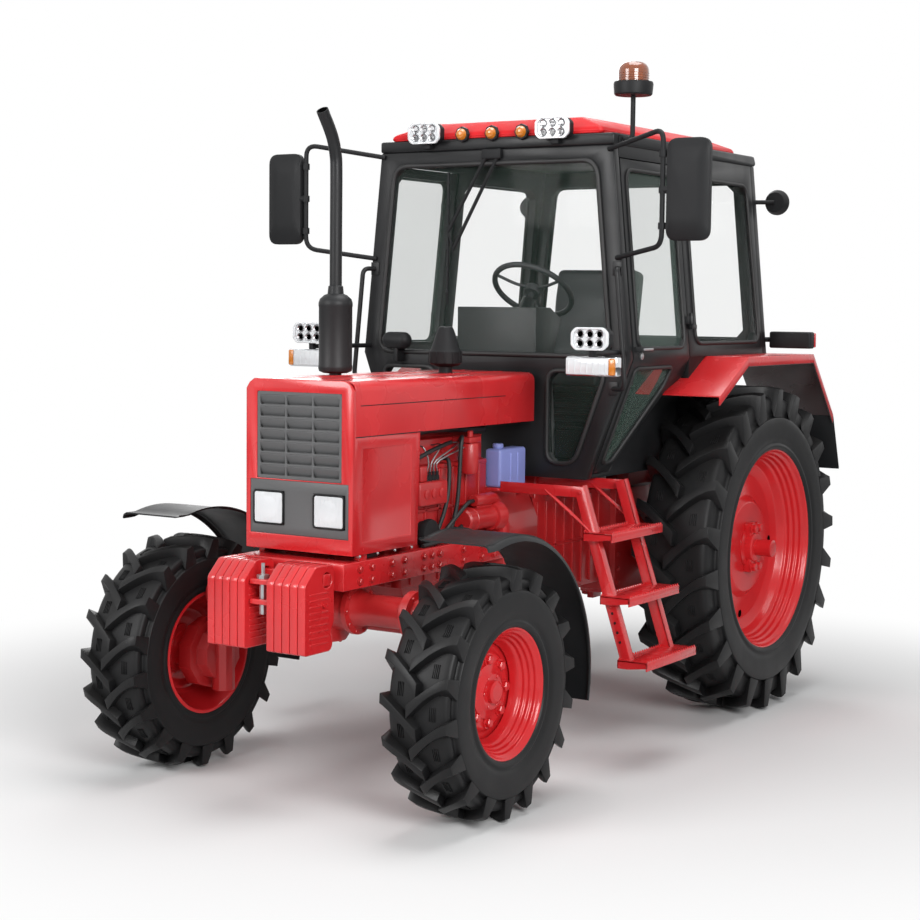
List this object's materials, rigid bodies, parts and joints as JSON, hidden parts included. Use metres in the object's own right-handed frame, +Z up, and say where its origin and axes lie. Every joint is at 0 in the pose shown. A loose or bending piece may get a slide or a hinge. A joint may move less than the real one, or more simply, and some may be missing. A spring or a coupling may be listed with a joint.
{
  "type": "farm tractor",
  "caption": "Four-wheel-drive farm tractor with a glazed cab, steered portal front axle, opening doors and a rear three-point linkage.",
  "frame": {"origin": "on the ground under the middle of the overall length and width", "axes": "+Z up, -Y forward, +X towards the tractor's left"},
  "size_m": [2.3, 3.9681, 3.015],
  "materials": {
    "red_paint": "gloss enamel",
    "black_paint": "satin enamel",
    "tyre_rubber": "matte rubber",
    "tinted_glass": "clear, lightly tinted",
    "grey_plastic": "moulded",
    "lamp_glass": "fluted lens",
    "amber_lens": "clear lens",
    "tank_plastic": "cloudy",
    "seat_vinyl": "grained vinyl",
    "black_plastic": "moulded",
    "bare_steel": "zinc plated"
  },
  "bodies": {
    "chassis": {"front_axle": "red_paint", "front_frame": "red_paint", "front_weights": "red_paint", "tow_pin": "bare_steel", "engine_block": "red_paint", "engine_fittings": "red_paint", "radiator": "black_paint", "hood": "red_paint", "nose_panel": "red_paint", "grille": "grey_plastic", "lamp_panel": "grey_plastic", "headlamps": "lamp_glass", "exhaust_stack": "black_paint", "air_precleaner": "black_paint", "washer_tank": "tank_plastic", "transmission": "red_paint", "rear_axle": "red_paint", "drawbar": "red_paint", "cab_front": "black_paint", "cab_rear": "black_paint", "cab_sides": "black_paint", "cab_tub": "black_paint", "cab_top": "black_paint", "cab_roof": "red_paint", "cab_glazing": "tinted_glass", "dash": "black_paint", "seat": "seat_vinyl", "rear_fenders": "red_paint", "rear_flaps": "black_paint", "ladders": "red_paint", "mirrors": "black_paint", "grab_handles": "black_paint", "work_lamps": "black_paint", "turn_lamps": "amber_lens", "marker_lamps": "amber_lens", "beacon": "amber_lens", "tail_lamps": "black_paint", "wiper": "black_paint"},
    "left_knuckle": {"knuckle_left": "red_paint", "front_fender_left": "black_paint"},
    "right_knuckle": {"knuckle_right": "red_paint", "front_fender_right": "black_paint"},
    "tie_bar": {"tie_rod": "red_paint"},
    "front_left_wheel": {"front_rim_left": "red_paint", "front_tyre_left": "tyre_rubber"},
    "front_right_wheel": {"front_rim_right": "red_paint", "front_tyre_right": "tyre_rubber"},
    "rear_left_wheel": {"rear_rim_left": "red_paint", "rear_tyre_left": "tyre_rubber"},
    "rear_right_wheel": {"rear_rim_right": "red_paint", "rear_tyre_right": "tyre_rubber"},
    "left_door": {"door_left": "black_paint", "door_glass_left": "tinted_glass"},
    "right_door": {"door_right": "black_paint", "door_glass_right": "tinted_glass"},
    "hand_wheel": {"steering_wheel": "black_plastic"},
    "links": {"lower_links": "red_paint"},
    "arms": {"lift_arms": "red_paint"},
    "rods": {"lift_rods": "red_paint"}
  },
  "joints": [
    {"name": "steer_left", "type": "hinge", "parent": "chassis", "child": "left_knuckle", "pos_m": [0.53, -1.495, 0.5], "axis": [0, 0, 1], "range_deg": [-35, 35]},
    {"name": "steer_right", "type": "hinge", "parent": "chassis", "child": "right_knuckle", "pos_m": [-0.53, -1.495, 0.5], "axis": [0, 0, 1], "range_deg": [-35, 35]},
    {"name": "tie_rod_swing", "type": "hinge", "parent": "left_knuckle", "child": "tie_bar", "pos_m": [0.53, -1.325, 0.65], "axis": [0, 0, 1], "range_deg": [-35, 35]},
    {"name": "front_left_roll", "type": "hinge", "parent": "left_knuckle", "child": "front_left_wheel", "pos_m": [0.744, -1.495, 0.49], "axis": [1, 0, 0], "continuous": true},
    {"name": "front_right_roll", "type": "hinge", "parent": "right_knuckle", "child": "front_right_wheel", "pos_m": [-0.744, -1.495, 0.49], "axis": [1, 0, 0], "continuous": true},
    {"name": "rear_left_roll", "type": "hinge", "parent": "chassis", "child": "rear_left_wheel", "pos_m": [0.711, 0.945, 0.79], "axis": [1, 0, 0], "continuous": true},
    {"name": "rear_right_roll", "type": "hinge", "parent": "chassis", "child": "rear_right_wheel", "pos_m": [-0.711, 0.945, 0.79], "axis": [1, 0, 0], "continuous": true},
    {"name": "left_door_open", "type": "hinge", "parent": "chassis", "child": "left_door", "pos_m": [0.725, 0.372, 1.73], "axis": [-0.0995, 0, 0.995], "range_deg": [0, 75]},
    {"name": "right_door_open", "type": "hinge", "parent": "chassis", "child": "right_door", "pos_m": [-0.725, 0.372, 1.73], "axis": [-0.0995, 0, -0.995], "range_deg": [0, 75]},
    {"name": "steering_wheel_turn", "type": "hinge", "parent": "chassis", "child": "hand_wheel", "pos_m": [0, 0.13, 2.03], "axis": [0, 0.6157, 0.788], "range_deg": [-420, 420]},
    {"name": "lower_links_lift", "type": "hinge", "parent": "chassis", "child": "links", "pos_m": [0, 1.145, 0.47], "axis": [1, 0, 0], "range_deg": [-20, 36]},
    {"name": "lift_arms_raise", "type": "hinge", "parent": "chassis", "child": "arms", "pos_m": [0, 1.235, 1.09], "axis": [1, 0, 0], "range_deg": [-20, 36]},
    {"name": "lift_rods_swing", "type": "hinge", "parent": "arms", "child": "rods", "pos_m": [0, 1.535, 1.09], "axis": [1, 0, 0], "range_deg": [-36, 20]}
  ],
  "couplings": [
    {"joint": "steer_right", "follows": "steer_left", "ratio": 1},
    {"joint": "tie_rod_swing", "follows": "steer_left", "ratio": -1},
    {"joint": "steering_wheel_turn", "follows": "steer_left", "ratio": 12},
    {"joint": "lift_arms_raise", "follows": "lower_links_lift", "ratio": 1},
    {"joint": "lift_rods_swing", "follows": "lower_links_lift", "ratio": -1}
  ]
}
